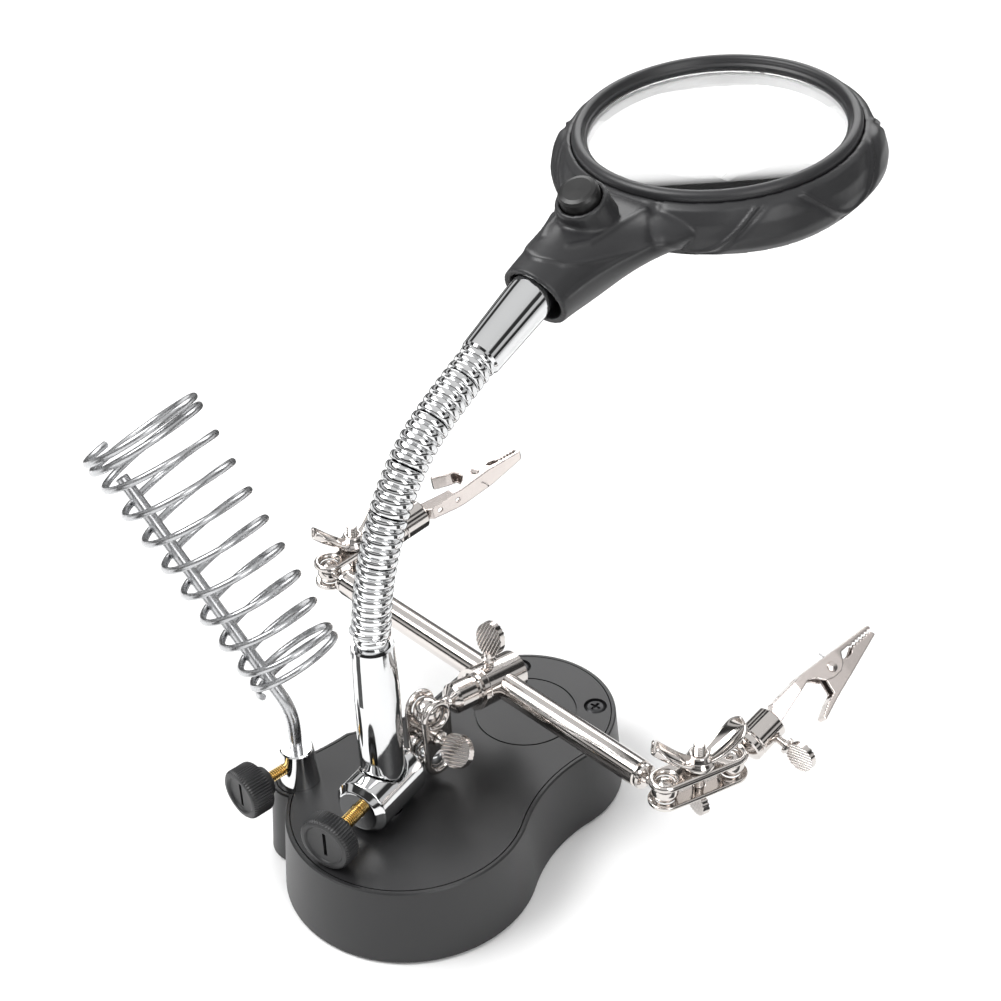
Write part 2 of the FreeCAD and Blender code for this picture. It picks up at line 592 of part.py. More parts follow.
def build_head():
    place = head_frame()
    ring = turned([(LENS_CLEAR_R + 0.2, SHELL_RISE), (SHELL_TOP_R, SHELL_RISE), (53.6, 0.2),
                   (55.8, -4.2),
                   (SHELL_WIDE_R, -9.4), (56.6, -12.6), (SHELL_BOTTOM_R, -SHELL_DEPTH),
                   (47.0, -SHELL_DEPTH),
                   (LENS_CLEAR_R + 0.2, -SHELL_DEPTH + 2.0)])
    inner = turned([(47.6, -5.6), (52.8, -5.6), (54.4, -9.0), (54.4, -11.0),
                    (53.4, -SHELL_DEPTH + SHELL_WALL),
                    (47.6, -SHELL_DEPTH + SHELL_WALL)])
    handle = Part.makeLoft(handle_sections(0.0), True, False)
    handle_cavity = Part.makeLoft(handle_sections(SHELL_WALL), True, False)
    tilt = math.radians(BUTTON_LEAN)
    button_axis = V(0, -math.sin(tilt), math.cos(tilt))
    button_frame = frame(BUTTON_PLACE, button_axis, X_AXIS)
    boss = put(turned([(0, -6.0), (10.4, -6.0), (9.4, -1.0), (9.0, 3.6), (8.4, 4.4), (0, 4.4)]),
               button_frame)
    lens_hole = cylinder(LENS_CLEAR_R + 0.2, -40, 40)
    shell = joined([ring, handle.cut(lens_hole), boss])
    shell = shell.cut(cylinder(LENS_R + 0.1, -3.8, 5)).cut(cylinder(BEZEL_R + 0.05, -0.9, 20))
    shell = shell.cut(inner)
    shell = shell.cut(handle_cavity.cut(cylinder(47.6, -40, 40)))
    shell = shell.cut(put(cylinder(BUTTON_R + 0.35, -8, 6), button_frame))
    shell = shell.cut(put(cylinder(BUTTON_R + 1.3, -9, -2.3), button_frame))
    neck_hole = put(cylinder(COLLAR_R_END, 0, COLLAR_LENGTH + COLLAR_INSERT + 0.05), collar_frame())
    shell = shell.cut(put(neck_hole, place.inverse()))
    split = [V(-80, -150, 60), V(-80, -150, -25.0), V(-80, -104.5, -11.8), V(-80, -81, -6.6),
             V(-80, -66, -SHELL_PARTING), V(-80, 90, -SHELL_PARTING), V(-80, 90, 60)]
    above = Part.Face(Part.makePolygon(split + split[:1])).extrude(V(160, 0, 0))
    save("head_upper_shell", put(shell.common(above), place))
    lamp_places = [(a, 51.2) for a in (222.0, 318.0, 60.0, 120.0)]
    screw_places = [(a, 51.0) for a in (180.0, 0.0, 90.0)]
    lower = shell.cut(above)
    for a, r in lamp_places:
        spot = V(r * math.cos(math.radians(a)), r * math.sin(math.radians(a)), 0)
        lower = lower.cut(at(cylinder(2.55, -25, -12), spot.x, spot.y))
    for a, r in screw_places:
        spot = V(r * math.cos(math.radians(a)), r * math.sin(math.radians(a)), 0)
        lower = lower.cut(at(cylinder(1.25, -25, -12), spot.x, spot.y))
        lower = lower.cut(at(cylinder(2.5, -25, -SHELL_DEPTH + 0.9), spot.x, spot.y))
    save("head_lower_shell", put(lower, place))

    lamp = turned([(0, -1.6), (1.4, -1.3), (2.2, -0.5), (2.5, 0.4), (2.5, 4.2), (0, 4.2)])
    lamps = []
    for a, r in lamp_places:
        lamps.append(at(lamp, r * math.cos(math.radians(a)), r * math.sin(math.radians(a)),
                        -SHELL_DEPTH + 0.6))
    save("head_lamps", put(solids_of(lamps), place))
    screw = cross_head_screw(2.3, 0.8, 1.2, 5.0).rotated(V(0, 0, 0), X_AXIS, 180)
    screws = []
    for a, r in screw_places:
        screws.append(at(screw, r * math.cos(math.radians(a)), r * math.sin(math.radians(a)),
                         -SHELL_DEPTH + 0.9))
    save("head_screws", put(solids_of(screws), place))

    edge = LENS_EDGE / 2
    dome_r = (LENS_R ** 2 + LENS_BULGE ** 2) / (2 * LENS_BULGE)
    mid = -3.4 + edge
    disc = cylinder(LENS_R, mid - edge - LENS_BULGE, mid + edge + LENS_BULGE)
    lens = disc.common(Part.makeSphere(dome_r, V(0, 0, mid + edge + LENS_BULGE - dome_r)))
    lens = lens.common(Part.makeSphere(dome_r, V(0, 0, mid - edge - LENS_BULGE + dome_r)))
    save("main_lens", put(lens, place))
    bezel = turned([(LENS_CLEAR_R, -0.9), (BEZEL_R, -0.9), (BEZEL_R, BEZEL_TOP - 2.0),
                    (BEZEL_R - 0.6, BEZEL_TOP - 0.7),
                    (BEZEL_R - 1.7, BEZEL_TOP), (BEZEL_R - 3.0, BEZEL_TOP - 0.1),
                    (LENS_CLEAR_R + 0.9, BEZEL_TOP - 2.2),
                    (LENS_CLEAR_R, 0.9)])
    dome = Part.makeSphere(dome_r + 0.05, V(0, 0, mid + edge + LENS_BULGE - dome_r))
    save("lens_bezel", put(bezel.cut(dome), place))
    button = turned([(0, -3.4), (BUTTON_R + 0.9, -3.4), (BUTTON_R + 0.9, -2.6), (BUTTON_R, -2.6),
                     (BUTTON_R, 7.3),
                     (BUTTON_R - 0.7, 8.2), (BUTTON_R - 2.0, 8.6), (0, 8.9)])
    shell_stop = cylinder(BUTTON_R, -2.7, 9)
    save("light_button", put(put(button.common(joined([shell_stop, cylinder(20, -3.0, 9)])),
                                 button_frame), place))

    collar = turned([(0, -SKIRT), (5.3, -SKIRT), (COLLAR_R_START - 0.4, 0.8), (COLLAR_R_START, 1.6),
                     (COLLAR_R_END, COLLAR_LENGTH), (COLLAR_R_END, COLLAR_LENGTH + COLLAR_INSERT),
                     (5.8, COLLAR_LENGTH + COLLAR_INSERT), (5.8, 9.0), (0, 9.0)])
    save("gooseneck_collar", put(collar.cut(socket_cavity()), collar_frame()))


# ------------------------------------------------------------------ bracket, T-clamp and bar
def link_plate(length_between, width, thickness, ball_hole_r, bolt_hole_r, rim):
    """Flat plate with round ends; lies on z=0 with its long axis on X and its middle at 0."""
    half = length_between / 2
    r = width / 2
    ends = [at(cylinder(r, 0, thickness), s * half, 0) for s in (-1, 1)]
    plate = joined(ends + [box(-half, half, -r, r, 0, thickness)])
    edges = [e for e in plate.Edges if abs(e.BoundBox.ZMin - thickness) < 1e-6 and e.BoundBox.ZLength < 1e-6]
    plate = plate.makeChamfer(rim, edges)
    for s in (-1, 1):
        hole = turned([(0, -1), (ball_hole_r, -1), (ball_hole_r, 0.6 * thickness),
                       (ball_hole_r + 0.9, thickness + 0.01),
                       (0, thickness + 0.01)])
        plate = plate.cut(at(hole, s * half, 0))
    return plate.cut(cylinder(bolt_hole_r, -1, thickness + 1))


def build_bracket():
    along = (UPPER_BALL - LOWER_BALL)
    middle = (UPPER_BALL + LOWER_BALL) * 0.5
    half_gap = math.sqrt(BALL_R ** 2 - 3.6 ** 2) + 0.12
    plate = link_plate(along.Length, BRACKET_PLATE_WIDTH, BRACKET_PLATE_THICKNESS, 3.75, 2.1, 0.6)
    normal = (BAR_DIRECTION - along.normalize() * BAR_DIRECTION.dot(along)).normalize()
    for name, side in (("outer", 1), ("inner", -1)):
        spot = frame(middle + normal * side * half_gap, normal * side, along)
        save("bracket_plate_" + name, put(plate, spot))
    bolt_frame = frame(middle, normal, along)
    back = half_gap + BRACKET_PLATE_THICKNESS
    shank = joined([cylinder(2.0, -back - 2.2, back + 1.2),
                    turned([(0, -back - 2.4), (3.4, -back - 2.4), (3.4, -back - 0.2),
                            (0, -back - 0.2)])])
    paddle = put(thumb_paddle(11.6, 12.8, 2.6, 2.2), frame(V(0, 0, back + 0.3), Z_AXIS, heading(-35.0)))
    save("bracket_thumbscrew", put(joined([shank, paddle]), bolt_frame))
    return half_gap


def tclamp_frame():
    return frame(UPPER_BALL, BAR_POINT - UPPER_BALL, BAR_DIRECTION)


def build_tclamp_and_bar():
    place = tclamp_frame()
    reach = (BAR_POINT - UPPER_BALL).Length
    bar_frame = frame(BAR_POINT, BAR_DIRECTION, Z_AXIS)
    face = reach - SLEEVE_BACK
    pin_r = 3.0
    neck = joined([Part.makeSphere(BALL_R),
                   turned([(0, 0), (1.9, 0), (1.9, 8.6), (2.2, 9.4), (4.6, 11.2), (5.4, 12.0),
                           (5.4, face - 2.9),
                           (6.0, face - 2.5), (7.6, face - 2.5), (7.6, face - 0.3), (0, face - 0.3)]),
                   cylinder(pin_r, face - 1, face + 2.2)])
    save("tclamp_neck", put(neck, place))
    sleeve = turned([(0, face), (SLEEVE_R - 0.4, face), (SLEEVE_R, face + 0.4),
                     (SLEEVE_R, reach + SLEEVE_FRONT - 0.8),
                     (SLEEVE_R - 0.8, reach + SLEEVE_FRONT), (0, reach + SLEEVE_FRONT)])
    sleeve = sleeve.cut(cylinder(pin_r + RUNNING_CLEARANCE, face - 1, face + 2.5))
    sleeve = put(sleeve, place)
    sleeve = sleeve.cut(put(cylinder(BAR_R + RUNNING_CLEARANCE, -20, 20), bar_frame))
    screw_dir = place.Rotation.multVec(Y_AXIS)
    if screw_dir.z < 0:
        screw_dir = screw_dir * -1
    screw_frame = frame(BAR_POINT + place.Rotation.multVec(Z_AXIS) * -SCREW_BACK, screw_dir,
                        BAR_DIRECTION)
    sleeve = sleeve.cut(put(cylinder(2.06, 0, 20), screw_frame))
    save("tclamp_sleeve", sleeve)
    save("bar_thumbscrew", put(joined([ringed_rod(2.0, BAR_R + 0.35, SLEEVE_R + 3.4),
                                       put(thumb_paddle(10.8, 13.0, 2.6, 1.8),
                                           frame(V(0, 0, SLEEVE_R + 2.6), Z_AXIS, heading(8.0)))]),
                               screw_frame))
    bar = turned([(0, BAR_LEFT), (BAR_R - 0.5, BAR_LEFT), (BAR_R, BAR_LEFT + 0.5),
                  (BAR_R, BAR_RIGHT - 0.5),
                  (BAR_R - 0.5, BAR_RIGHT), (0, BAR_RIGHT)])
    for end, sign in ((BAR_RIGHT, 1), (BAR_LEFT, -1)):
        bore = cylinder(2.3 + RUNNING_CLEARANCE, min(end, end - sign * 7.2), max(end, end - sign * 7.2))
        bar = bar.cut(bore)
    save("crossbar", put(bar, bar_frame))


# ------------------------------------------------------------------ ball clamps
def side_points(side):
    """Ball centres and directions of one clamp: bar ball, clip ball, plate and clip headings."""
    spec = SIDES[side]
    end = BAR_RIGHT + BAR_BALL_GAP if spec["sign"] > 0 else BAR_LEFT - BAR_BALL_GAP
    bar_ball = BAR_POINT + BAR_DIRECTION * end
    along = heading(spec["plates"])
    clip_ball = bar_ball + along * CLAMP_BALL_SPACING
    return bar_ball, clip_ball, along, heading(*spec["clip"])


def wing(side):
    """One scooped leaf of a pressed wing nut: a rising sheet with turned-up edges and a round tip."""
    floor_line = [(2.6, 0.5), (5.6, 0.9), (9.5, 3.0), (13.0, 6.0), (15.6, 9.0), (17.0, 11.6)]
    upper = [V(side * (x - 0.8), 0, z + 1.0) for x, z in reversed(floor_line)]
    sheet = [V(side * x, 0, z) for x, z in floor_line] + upper
    web = Part.Face(Part.makePolygon(sheet + sheet[:1])).extrude(V(0, 9.4, 0)).translated(V(0, -4.7, 0))
    wall_line = [(3.4, 0.8), (7.0, 2.0), (11.4, 5.2), (14.6, 9.0), (15.8, 11.6), (14.4, 13.2),
                 (11.8, 12.2), (8.4, 8.4), (4.4, 4.6)]
    wall = [V(side * x, 0, z) for x, z in wall_line]
    plate = Part.Face(Part.makePolygon(wall + wall[:1])).extrude(V(0, 1.0, 0))
    walls = [plate.translated(V(0, y, 0)) for y in (3.7, -4.7)]
    return joined([web] + walls)


def wing_nut():
    hub = turned([(2.05, 0), (5.4, 0), (5.0, 2.6), (3.8, 4.8), (2.05, 4.8)])
    nut = joined([hub, wing(1), wing(-1)])
    return nut.cut(cylinder(2.05, -1, 12))


def build_clamp(side):
    spec = SIDES[side]
    bar_ball, clip_ball, along, clip_dir = side_points(side)
    sign = spec["sign"]
    stud_frame = frame(bar_ball, BAR_DIRECTION * sign, Z_AXIS)
    stud = joined([Part.makeSphere(CLAMP_BALL_R),
                   turned([(0, -BAR_BALL_GAP - 6.8), (2.3, -BAR_BALL_GAP - 6.8),
                           (2.3, -BAR_BALL_GAP + 0.3),
                           (4.4, -BAR_BALL_GAP + 0.3), (4.6, -BAR_BALL_GAP + 1.2),
                           (4.4, -BAR_BALL_GAP + 2.2),
                           (3.0, -BAR_BALL_GAP + 2.6), (1.8, -BAR_BALL_GAP + 3.4), (1.6, 0), (0, 0)])])
    save(side + "_bar_stud", put(stud, stud_frame))

    middle = (bar_ball + clip_ball) * 0.5
    plate = link_plate(CLAMP_BALL_SPACING, CLAMP_PLATE_WIDTH, CLAMP_PLATE_THICKNESS, CLAMP_HOLE_R,
                       CLAMP_BOLT_R + 0.1, 0.7)
    half = CLAMP_GAP / 2
    save(side + "_plate_upper", put(plate, frame(middle + Z_AXIS * half, Z_AXIS, along)))
    save(side + "_plate_lower", put(plate, frame(middle - Z_AXIS * half, Z_AXIS * -1, along)))
    top = half + CLAMP_PLATE_THICKNESS
    bolt = joined([ringed_rod(CLAMP_BOLT_R - 0.05, -top + 0.5, top + 8.6),
                   put(thumb_paddle(11.0, 9.0, 2.6, 0.9),
                       frame(V(0, 0, -top - 0.02), Z_AXIS * -1, Y_AXIS)),
                   cylinder(1.55, -top - 0.5, -top + 1)])
    save(side + "_clamp_bolt", put(bolt, frame(middle, Z_AXIS, along)))
    nut_frame = frame(middle + Z_AXIS * (top + 0.3), Z_AXIS, heading(NUT_TURN[side]))
    save(side + "_wing_nut", put(wing_nut(), nut_frame))

    socket_frame = frame(clip_ball, clip_dir, Z_AXIS)
    end = SOCKET_START + SOCKET_LENGTH
    socket = joined([Part.makeSphere(CLAMP_BALL_R),
                     turned([(0, 0), (1.35, 0), (1.35, SOCKET_START - 1.2), (4.0, SOCKET_START - 0.4),
                             (SOCKET_R - 0.5, SOCKET_START),
                             (SOCKET_R, SOCKET_START + 0.5), (SOCKET_R, SOCKET_START + 2.4),
                             (SOCKET_R - 0.35, SOCKET_START + 2.8),
                             (SOCKET_R - 0.35, SOCKET_START + 3.1), (SOCKET_R, SOCKET_START + 3.5),
                             (SOCKET_R, end - 0.5), (SOCKET_R - 0.5, end), (0, end)])])
    socket = socket.cut(cylinder(SOCKET_BORE_R, SOCKET_START + 3.6, end + 1))
    screw_frame = frame(V(0, 0, end - 4.2), heading(SCREW_TURN[side]), Z_AXIS)
    socket = socket.cut(put(cylinder(1.56, 0, 9), screw_frame))
    save(side + "_socket", put(socket, socket_frame))
    screw = joined([ringed_rod(1.5, SOCKET_BORE_R + 0.1, SOCKET_R + 4.2, 0.6, 0.3),
                    put(thumb_paddle(9.6, 10.6, 2.4, 0.9),
                        frame(V(0, 0, SOCKET_R + 3.6), Z_AXIS, heading(70.0)))])
    save(side + "_socket_screw", put(put(screw, screw_frame), socket_frame))
    build_clip(side, clip_placement(side))


def channel(profile, plan, inner_profile, inner_plan):
    """Folded-sheet channel: a side profile cut to a plan shape, less its inside."""
    def prism(points, direction, depth, start):
        corners = [p + start for p in points]
        return Part.Face(Part.makePolygon(corners + corners[:1])).extrude(direction * depth)
    outer = prism(profile, Y_AXIS, 20, V(0, -10, 0)).common(prism(plan, Z_AXIS, 60, V(0, 0, -30)))
    inner = prism(inner_profile, Y_AXIS, 20, V(0, -10, 0)).common(prism(inner_plan, Z_AXIS, 60,
                                                                        V(0, 0, -30)))
    return outer.cut(inner)


def teeth(x0, x1, z, height, count, phase):
    """Saw-tooth run of points from x0 to x1 about the bite line."""
    points = []
    step = (x1 - x0) / count
    for i in range(count):
        x = x0 + i * step
        points.append(V(x, 0, z + (height if phase else 0)))
        points.append(V(x + step / 2, 0, z + (0 if phase else height)))
    points.append(V(x1, 0, z + (height if phase else 0)))
    return points


def clip_placement(side):
    """Lays a clip's own frame, X along the jaws and Z to the spine, on its socket's axis."""
    bar_ball, clip_ball, along, clip_dir = side_points(side)
    mouth = frame(clip_ball + clip_dir * (SOCKET_START + SOCKET_LENGTH), clip_dir, Z_AXIS)
    roll = FreeCAD.Placement(V(0, 0, 0), FreeCAD.Rotation(Z_AXIS, SIDES[side]["roll"]))
    lay = FreeCAD.Placement(V(0, 0, 0), FreeCAD.Rotation(Z_AXIS, Y_AXIS * -1, X_AXIS, "ZXY"))
    nod = FreeCAD.Placement(V(0, 0, 0), FreeCAD.Rotation(Y_AXIS, SIDES[side]["nod"]))
    return mouth.multiply(roll).multiply(lay).multiply(nod)


def build_clip(side, whole):
    """Alligator clip in its own frame: local X forward along the jaws, local Z to its spine."""
    px = CLIP_PIVOT.x
    pz = CLIP_PIVOT.z
    bite = 2.2
    tip = 44.2
    first_tooth = px + 10.2
    tooth = 0.7
    back = -7.5
    upper = [V(back, 0, -2.0), V(0.4, 0, -2.0), V(9.0, 0, 0.6), V(16.2, 0, 2.7),
             V(px - 6.4, 0, pz + 0.2), V(px - 4.4, 0, pz - 2.0),
             V(px - 1.4, 0, pz - 3.0), V(px + 1.6, 0, pz - 2.8), V(px + 3.5, 0, pz - 1.6),
             V(px + 4.7, 0, pz + 0.2),
             V(px + 5.7, 0, pz + 1.7), V(px + 8.8, 0, pz + 1.8), V(px + 9.6, 0, bite + 0.1)]
    upper += teeth(first_tooth, tip - 0.4, bite + 0.1, tooth, 6, False)
    upper += [V(tip, 0, bite + 0.4), V(tip, 0, 3.4), V(tip - 0.8, 0, 3.8), V(px + 4.0, 0, 4.6),
              V(15.4, 0, 5.3), V(2.4, 0, 4.1),
              V(0.4, 0, 2.0), V(back, 0, 2.0)]
    plan = [V(back, -2.1, 0), V(0.4, -2.1, 0), V(12.0, -3.4, 0), V(px + 4.0, -3.6, 0), V(tip, -1.8, 0),
            V(tip, 1.8, 0), V(px + 4.0, 3.6, 0), V(12.0, 3.4, 0), V(0.4, 2.1, 0), V(back, 2.1, 0)]
    drop = [V(back - 1, 0, -20), V(back - 1, 0, 2.0 - SHEET), V(0.4, 0, 2.0 - SHEET),
            V(2.4, 0, 4.1 - SHEET), V(15.4, 0, 5.3 - SHEET),
            V(px + 4.0, 0, 4.6 - SHEET), V(tip - SHEET, 0, 3.6 - SHEET), V(tip - SHEET, 0, -20)]
    inner_plan = [V(back - 1, -2.1 + SHEET, 0), V(0.4, -2.1 + SHEET, 0), V(12.0, -3.4 + SHEET, 0),
                  V(px + 4.0, -3.6 + SHEET, 0),
                  V(tip - SHEET, -1.8 + SHEET, 0), V(tip - SHEET, 1.8 - SHEET, 0),
                  V(px + 4.0, 3.6 - SHEET, 0),
                  V(12.0, 3.4 - SHEET, 0), V(0.4, 2.1 - SHEET, 0), V(back - 1, 2.1 - SHEET, 0)]
    body = channel(upper, plan, drop, inner_plan)
    pivot = put(cylinder(1.06, -8, 8), frame(CLIP_PIVOT, Y_AXIS, X_AXIS))
    body = body.cut(pivot)
    spine_holes = [put(cylinder(0.9, 0, 12), frame(V(x, 0, 0), Z_AXIS, X_AXIS)) for x in (5.5, 13.0)]
    for hole in spine_holes:
        body = body.cut(hole)

    lower = teeth(first_tooth, tip - 0.4, bite - 0.95, tooth, 6, False)
    lower.reverse()
    lower += [V(px + 9.4, 0, bite - 1.2), V(px + 8.6, 0, pz - 0.7), V(px + 6.4, 0, pz - 1.0),
              V(px + 5.2, 0, pz - 0.4),
              V(px + 3.6, 0, pz + 1.0), V(px + 2.2, 0, pz + 2.2), V(px, 0, pz + 2.6),
              V(px - 2.2, 0, pz + 2.0), V(px - 3.4, 0, pz),
              V(px - 4.2, 0, pz - 3.0), V(px - 4.6, 0, pz - 6.4), V(px - 8.0, 0, pz - 7.6),
              V(px - 12.4, 0, pz - 9.9),
              V(px - 12.2, 0, pz - 11.2), V(px - 8.0, 0, pz - 9.6), V(px - 4.2, 0, pz - 8.2),
              V(tip - 0.4, 0, 0.0), V(tip, 0, 0.5)]
    w = 2.65
    nose = 1.75
    lower_plan = [V(0, -w, 0), V(px + 4.0, -w, 0), V(tip, -nose, 0), V(tip, nose, 0), V(px + 4.0, w, 0),
                  V(0, w, 0)]
    inner_lower_plan = [V(px - 6.0, -w + SHEET, 0), V(px + 4.0, -w + SHEET, 0),
                        V(tip - SHEET, -nose + SHEET, 0),
                        V(tip - SHEET, nose - SHEET, 0), V(px + 4.0, w - SHEET, 0),
                        V(px - 6.0, w - SHEET, 0)]
    lift = [V(px - 7.0, 0, 20), V(px - 7.0, 0, pz - 7.1), V(px - 4.2, 0, pz - 7.2),
            V(tip - SHEET, 0, SHEET), V(tip - SHEET, 0, 20)]
    lever = channel(lower, lower_plan, lift, inner_lower_plan).cut(pivot)
    pin = put(cylinder(1.0, -3.9, 3.9), frame(CLIP_PIVOT, Y_AXIS, X_AXIS))
    heads = [put(turned([(0, 3.6), (1.7, 3.6), (1.5, 4.0), (0, 4.2)]),
                 frame(CLIP_PIVOT, Y_AXIS * s, X_AXIS)) for s in (1, -1)]
    rivet = joined([pin] + heads)
    for name, piece in (("body", body), ("lever", lever), ("rivet", rivet)):
        piece.scale(CLIP_SCALE)
        save("%s_clip_%s" % (side, name), put(piece, whole))


build_base()
build_iron_stand()
build_block()
build_post_and_neck()
build_head()
build_bracket()
build_tclamp_and_bar()
for side_name in SIDES:
    build_clamp(side_name)

os.makedirs("parts", exist_ok=True)
for node_name, node_shape in PIECES.items():
    node_shape.exportStep("parts/%s.step" % node_name)
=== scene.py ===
import bpy
import bmesh
import json
import math
import numpy as np
from mathutils import Matrix, Vector


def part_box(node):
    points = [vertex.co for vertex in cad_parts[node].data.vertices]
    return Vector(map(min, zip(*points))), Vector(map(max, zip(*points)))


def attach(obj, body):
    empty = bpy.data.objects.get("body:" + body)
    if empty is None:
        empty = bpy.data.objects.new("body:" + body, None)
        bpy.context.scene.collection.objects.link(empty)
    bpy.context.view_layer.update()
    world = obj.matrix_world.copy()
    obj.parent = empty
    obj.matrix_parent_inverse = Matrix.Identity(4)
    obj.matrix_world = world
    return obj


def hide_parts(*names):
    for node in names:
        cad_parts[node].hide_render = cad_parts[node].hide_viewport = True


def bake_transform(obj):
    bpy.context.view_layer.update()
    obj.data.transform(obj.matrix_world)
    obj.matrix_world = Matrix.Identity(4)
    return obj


# Helping hands station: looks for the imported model. Metres, in the row frame.
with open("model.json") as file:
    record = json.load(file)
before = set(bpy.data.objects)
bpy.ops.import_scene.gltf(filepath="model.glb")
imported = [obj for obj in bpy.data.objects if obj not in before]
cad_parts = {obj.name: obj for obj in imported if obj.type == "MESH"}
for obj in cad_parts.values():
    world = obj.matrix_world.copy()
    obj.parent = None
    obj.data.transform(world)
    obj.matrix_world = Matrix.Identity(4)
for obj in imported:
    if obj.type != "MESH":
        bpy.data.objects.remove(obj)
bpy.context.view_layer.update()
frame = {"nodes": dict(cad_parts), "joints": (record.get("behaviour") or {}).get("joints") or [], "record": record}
NODES = frame["nodes"]
JOINTS = {j["name"]: j for j in frame["joints"]}
SLOTS = {p["node"]: p["material_slot"] for p in frame["record"]["subparts"]}
BODY_OF = {n: b for b, ns in frame["record"]["behaviour"]["bodies"].items() for n in ns}
MM = 0.001


# ------------------------------------------------------------------ camera, floor and light
CAMERA_LENS = 71.96


def make_camera():
    data = bpy.data.cameras.new("camera")
    data.sensor_width = 36.0
    data.lens = CAMERA_LENS
    data.clip_start = 0.01
    data.clip_end = 50.0
    cam = bpy.data.objects.new("camera", data)
    right = Vector((0.75716, 0.65240, -0.03274))
    up = Vector((-0.35207, 0.44980, 0.82081))
    back = Vector((0.55023, -0.60996, 0.57026))
    turn = Matrix((right, up, back)).transposed().to_4x4()
    cam.matrix_world = Matrix.Translation((0.36322, -0.34935, 0.50415)) @ turn
    bpy.context.scene.collection.objects.link(cam)
    bpy.context.scene.camera = cam


def area_light(name, place, target, size, power, colour=(1, 1, 1)):
    data = bpy.data.lights.new(name, "AREA")
    data.shape = "RECTANGLE"
    data.size = size[0]
    data.size_y = size[1]
    data.energy = power
    data.color = colour
    light = bpy.data.objects.new(name, data)
    light.location = place
    light.rotation_euler = (Vector(target) - Vector(place)).to_track_quat("-Z", "Y").to_euler()
    bpy.context.scene.collection.objects.link(light)


# Dark cards laid round the post, seen only in reflections: bearings in degrees and inner radius.
DARK_FLOOR = [(-137, -112, 0.10), (3, 27, 0.15), (98, 165, 0.13)]


def dark_patch(name, start, end, inner):
    """Fan-shaped black card just above the floor that only mirrors can see."""
    outer = 1.6
    centre = Vector((-0.0052, -0.0052, 0.0004))
    verts = []
    for a in (start, (start + end) / 2, end):
        ray = Vector((math.cos(a), math.sin(a), 0))
        verts += [centre + ray * inner, centre + ray * outer]
    mesh = bpy.data.meshes.new(name)
    mesh.from_pydata(verts, [], [(0, 1, 3, 2), (2, 3, 5, 4)])
    mat = bpy.data.materials.new(name)
    mat.use_nodes = True
    mat.node_tree.nodes["Principled BSDF"].inputs["Base Color"].default_value = (0.01, 0.01, 0.01,
                                                                                 1)
    mesh.materials.append(mat)
    card = bpy.data.objects.new(name, mesh)
    bpy.context.scene.collection.objects.link(card)
    card.visible_camera = False
    card.visible_diffuse = False
    card.visible_shadow = False
    card.visible_transmission = False


def make_studio():
    mesh = bpy.data.meshes.new("floor")
    s = 4.0
    mesh.from_pydata([(-s, -s, 0), (s, -s, 0), (s, s, 0), (-s, s, 0)], [], [(0, 1, 2, 3)])
    floor = bpy.data.objects.new("floor", mesh)
    floor.location.z = -0.0002
    bpy.context.scene.collection.objects.link(floor)
    mat = bpy.data.materials.new("floor_paper")
    mat.use_nodes = True
    bsdf = mat.node_tree.nodes["Principled BSDF"]
    bsdf.inputs["Base Color"].default_value = (0.93, 0.93, 0.93, 1)
    bsdf.inputs["Roughness"].default_value = 0.9
    mesh.materials.append(mat)

    world = bpy.data.worlds.new("studio")
    bpy.context.scene.world = world
    world.use_nodes = True
    nt = world.node_tree
    nt.nodes.clear()
    out = nt.nodes.new("ShaderNodeOutputWorld")
    bg = nt.nodes.new("ShaderNodeBackground")
    coord = nt.nodes.new("ShaderNodeTexCoord")
    split = nt.nodes.new("ShaderNodeSeparateXYZ")
    lift = nt.nodes.new("ShaderNodeMapRange")
    lift.inputs["From Min"].default_value = -1.0
    ramp = nt.nodes.new("ShaderNodeValToRGB")
    ramp.color_ramp.interpolation = "EASE"
    stops = [(0.0, 0.30), (0.47, 0.20), (0.50, 0.03), (0.57, 0.05), (0.60, 0.85), (0.68, 0.90),
             (0.71, 0.05), (0.80, 0.05), (0.84, 1.0), (1.0, 1.1)]
    while len(ramp.color_ramp.elements) < len(stops):
        ramp.color_ramp.elements.new(0.5)
    for element, (at, value) in zip(ramp.color_ramp.elements, stops):
        element.position = at
        element.color = (value, value, value, 1)
    nt.links.new(coord.outputs["Generated"], split.inputs[0])
    nt.links.new(split.outputs["Z"], lift.inputs["Value"])
    nt.links.new(lift.outputs[0], ramp.inputs[0])
    nt.links.new(ramp.outputs[0], bg.inputs[0])
    bg.inputs["Strength"].default_value = 0.75
    seen = nt.nodes.new("ShaderNodeBackground")
    seen.inputs["Color"].default_value = (1, 1, 1, 1)
    seen.inputs["Strength"].default_value = 0.97
    path = nt.nodes.new("ShaderNodeLightPath")
    pick = nt.nodes.new("ShaderNodeMixShader")
    nt.links.new(path.outputs["Is Camera Ray"], pick.inputs[0])
    nt.links.new(bg.outputs[0], pick.inputs[1])
    nt.links.new(seen.outputs[0], pick.inputs[2])
    nt.links.new(pick.outputs[0], out.inputs[0])
    area_light("key", (-0.55, -0.55, 1.15), (0, 0.06, 0.1), (0.9, 0.7), 16)
    area_light("fill", (0.95, -0.25, 0.75), (0, 0.06, 0.1), (0.5, 0.9), 5)
    area_light("rim", (-0.55, 1.05, 0.85), (0, 0.08, 0.15), (1.3, 0.5), 8)
    for number, (start, end, inner) in enumerate(DARK_FLOOR):
        dark_patch("dark_patch_%d" % number, math.radians(start), math.radians(end), inner)
    bpy.context.scene.view_settings.view_transform = "Standard"


